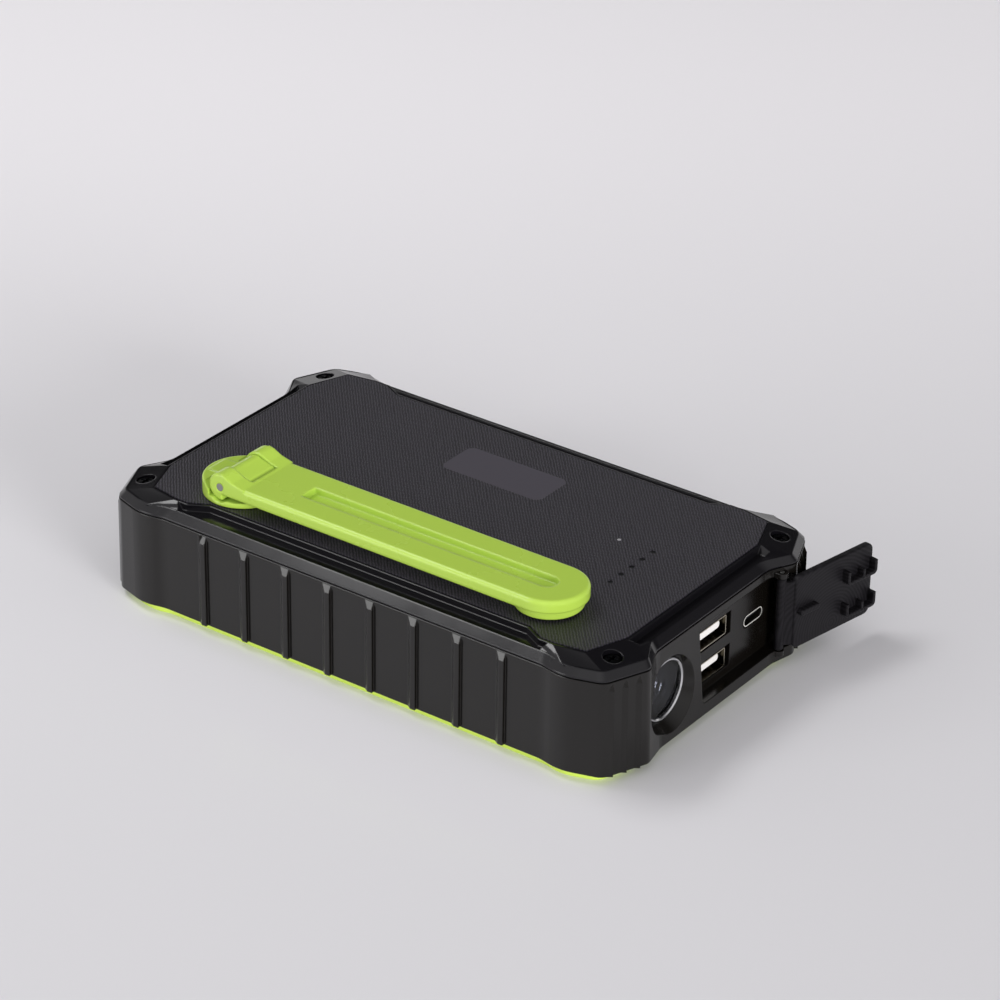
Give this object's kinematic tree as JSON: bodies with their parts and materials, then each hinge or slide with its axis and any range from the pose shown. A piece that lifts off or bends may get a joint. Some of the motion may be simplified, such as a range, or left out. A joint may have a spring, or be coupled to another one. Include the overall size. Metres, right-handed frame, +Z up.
{
  "type": "hand crank phone charger",
  "caption": "Rugged ribbed power bank with a folding hand crank on its lid, a torch and two sockets at one end behind a hinged rubber flap.",
  "frame": {"origin": "centre of the surface that the case stands on, under the middle of the case", "axes": "+X along the case to the end with the torch and the sockets, +Z up through the lid, -Y the side that the crank lies along"},
  "size_m": [0.1802, 0.1109, 0.0434],
  "materials": {
    "case_black_abs": "satin",
    "inlay_twill_abs": "fine twill texture",
    "lime_abs": "satin",
    "black_rubber": "matt",
    "lime_rubber": "matt",
    "solar_laminate": "clear epoxy over dark cells",
    "clear_light_pipe": "clear",
    "zinc_screw_steel": "zinc plated",
    "black_screw_steel": "blackened",
    "chrome_bezel": "polished",
    "clear_polycarbonate": "clear",
    "plated_reflector": "metallised",
    "led_phosphor": "gloss",
    "circuit_board": "green solder mask",
    "chip_ceramic": "matt",
    "nickel_shell": "nickel plated",
    "white_insulator": "matt",
    "black_insulator": "matt",
    "cell_pouch": "embossed foil",
    "shaft_steel": "turned",
    "bush_brass": "turned",
    "gear_acetal": "natural",
    "can_steel": "drawn, plated",
    "winding_copper": "enamelled wire",
    "ferrite": "sintered"
  },
  "bodies": {
    "case": {"mid_case": "case_black_abs", "bottom_cover": "lime_abs", "top_cover": "case_black_abs", "top_inlay": "inlay_twill_abs", "case_seal": "black_rubber", "solar_panel": "solar_laminate", "cover_screws": "black_screw_steel", "indicator_pipes": "clear_light_pipe", "charge_lamp": "clear_light_pipe", "indicator_board": "circuit_board", "indicator_chips": "chip_ceramic", "torch_bezel": "chrome_bezel", "torch_lens": "clear_polycarbonate", "torch_reflector": "plated_reflector", "torch_led": "led_phosphor", "torch_board": "circuit_board", "usb_spacer": "black_insulator", "input_port_shell": "nickel_shell", "input_port_tongue": "black_insulator", "main_board": "circuit_board", "input_board": "circuit_board", "board_spacers": "black_insulator", "board_screws": "zinc_screw_steel", "battery_cells": "cell_pouch", "button_switch": "black_insulator", "switch_board": "circuit_board", "flap_hinge_pin": "shaft_steel", "hub_bush": "bush_brass", "idler_pins": "shaft_steel", "gear_plate": "can_steel", "plate_screws": "zinc_screw_steel", "plate_standoffs": "zinc_screw_steel", "generator_can": "can_steel", "generator_end_bell": "can_steel", "generator_stator": "winding_copper", "usb_shell_lower": "nickel_shell", "usb_shell_upper": "nickel_shell", "usb_tongue_lower": "white_insulator", "usb_tongue_upper": "white_insulator"},
    "crank": {"crank_hub": "lime_abs", "crank_shaft": "shaft_steel", "drive_gear": "gear_acetal", "retaining_clip": "shaft_steel", "crank_hinge_pin": "shaft_steel"},
    "folding_arm": {"crank_arm": "lime_abs", "knob_screw": "zinc_screw_steel"},
    "knob": {"crank_knob": "lime_abs"},
    "idler_1": {"idler_gear_1": "gear_acetal"},
    "idler_2": {"idler_gear_2": "gear_acetal"},
    "rotor": {"generator_rotor": "ferrite", "rotor_pinion": "bush_brass"},
    "flap": {"port_flap": "black_rubber"},
    "button": {"power_button": "lime_rubber"}
  },
  "joints": [
    {"name": "crank_spin", "type": "hinge", "parent": "case", "child": "crank", "pos_m": [-0.0504, -0.0288, 0.0345], "axis": [0, 0, 1], "continuous": true},
    {"name": "arm_fold", "type": "hinge", "parent": "crank", "child": "folding_arm", "pos_m": [-0.0501, -0.0288, 0.0395], "axis": [0, -1, 0], "range_deg": [0, 165]},
    {"name": "knob_spin", "type": "hinge", "parent": "folding_arm", "child": "knob", "pos_m": [0.05, -0.0288, 0.036], "axis": [0, 0, 1], "continuous": true},
    {"name": "idler_1_spin", "type": "hinge", "parent": "case", "child": "idler_1", "pos_m": [-0.04502, -0.00871, 0.022], "axis": [0, 0, 1], "continuous": true},
    {"name": "idler_2_spin", "type": "hinge", "parent": "case", "child": "idler_2", "pos_m": [-0.03641, 0.00358, 0.02], "axis": [0, 0, 1], "continuous": true},
    {"name": "rotor_spin", "type": "hinge", "parent": "case", "child": "rotor", "pos_m": [-0.0388, 0.01712, 0.01], "axis": [0, 0, 1], "continuous": true},
    {"name": "flap_swing", "type": "hinge", "parent": "case", "child": "flap", "pos_m": [0.0837, 0.029, 0.0168], "axis": [0, 0, -1], "range_deg": [0, 169]},
    {"name": "button_press", "type": "slide", "parent": "case", "child": "button", "axis": [1, 0, 0], "range_m": [0, 0.0006], "stiffness_N_per_m": 800}
  ],
  "couplings": [
    {"joint": "idler_1_spin", "follows": "crank_spin", "ratio": -3.3333},
    {"joint": "idler_2_spin", "follows": "crank_spin", "ratio": 13.333},
    {"joint": "rotor_spin", "follows": "crank_spin", "ratio": -53.333}
  ]
}
